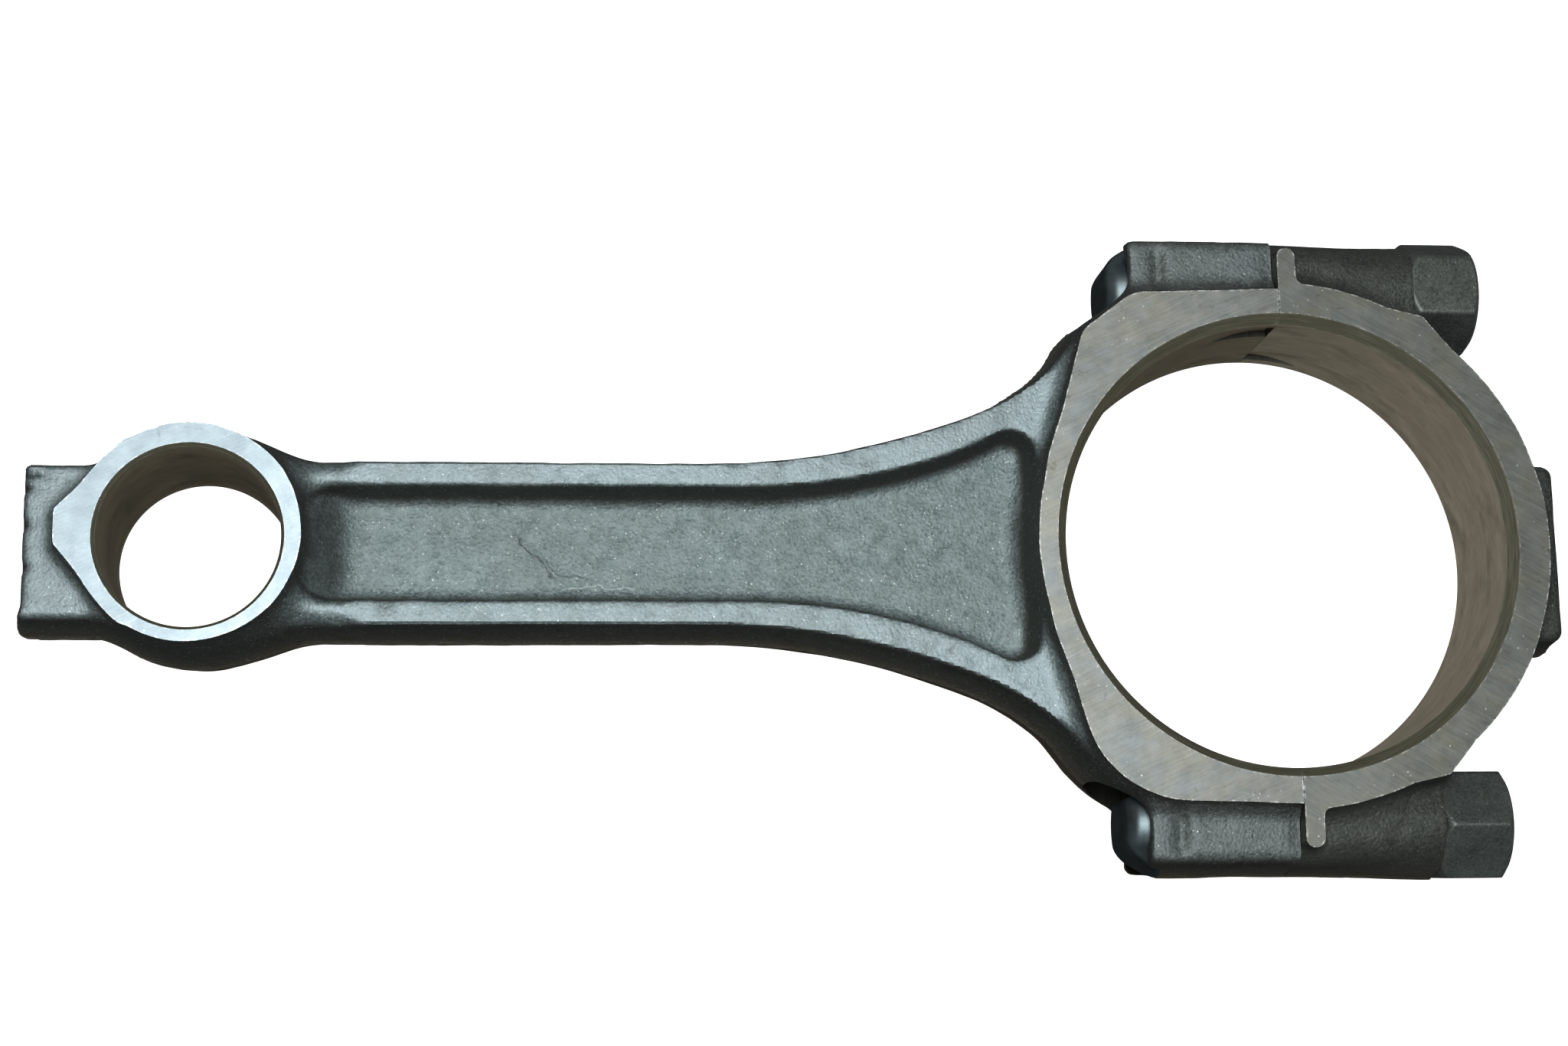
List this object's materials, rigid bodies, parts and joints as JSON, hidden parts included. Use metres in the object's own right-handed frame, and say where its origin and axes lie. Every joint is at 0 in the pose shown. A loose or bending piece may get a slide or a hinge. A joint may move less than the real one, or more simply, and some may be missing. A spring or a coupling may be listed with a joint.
{
  "type": "connecting rod",
  "caption": "Forged steel I-beam connecting rod for a car engine, with a bolted big-end cap held by studs with hexagon nuts and a bore at each end.",
  "frame": {"origin": "centre of the big-end bore, half way through its width", "axes": "+X from the small end towards the cap, along the bolts; +Z along both bores; +Y completes the frame"},
  "size_m": [0.2075, 0.0895, 0.0256],
  "materials": {
    "rod_forging": "shot-blasted dark forging with ground side faces",
    "cap_forging": "shot-blasted dark forging with ground side faces",
    "bolt_steel": "blackened, glossy",
    "nut_steel": "phosphated, satin"
  },
  "bodies": {
    "rod": {"rod_body": "rod_forging", "bolt_upper": "bolt_steel", "bolt_lower": "bolt_steel"},
    "cap": {"rod_cap": "cap_forging"},
    "upper_nut": {"nut_upper": "nut_steel"},
    "lower_nut": {"nut_lower": "nut_steel"}
  },
  "joints": [
    {"name": "cap_slide", "type": "slide", "parent": "rod", "child": "cap", "axis": [1, 0, 0], "range_m": [0, 0.0095]},
    {"name": "upper_nut_spin", "type": "hinge", "parent": "cap", "child": "upper_nut", "pos_m": [0.0251, 0.0369, 0], "axis": [1, 0, 0], "range_deg": [0, 3240]},
    {"name": "lower_nut_spin", "type": "hinge", "parent": "cap", "child": "lower_nut", "pos_m": [0.0251, -0.0369, 0], "axis": [1, 0, 0], "range_deg": [0, 3240]}
  ],
  "couplings": [
    {"joint": "upper_nut_spin", "follows": "cap_slide", "rad_per_m": 5936.8},
    {"joint": "lower_nut_spin", "follows": "cap_slide", "rad_per_m": 5936.8}
  ]
}
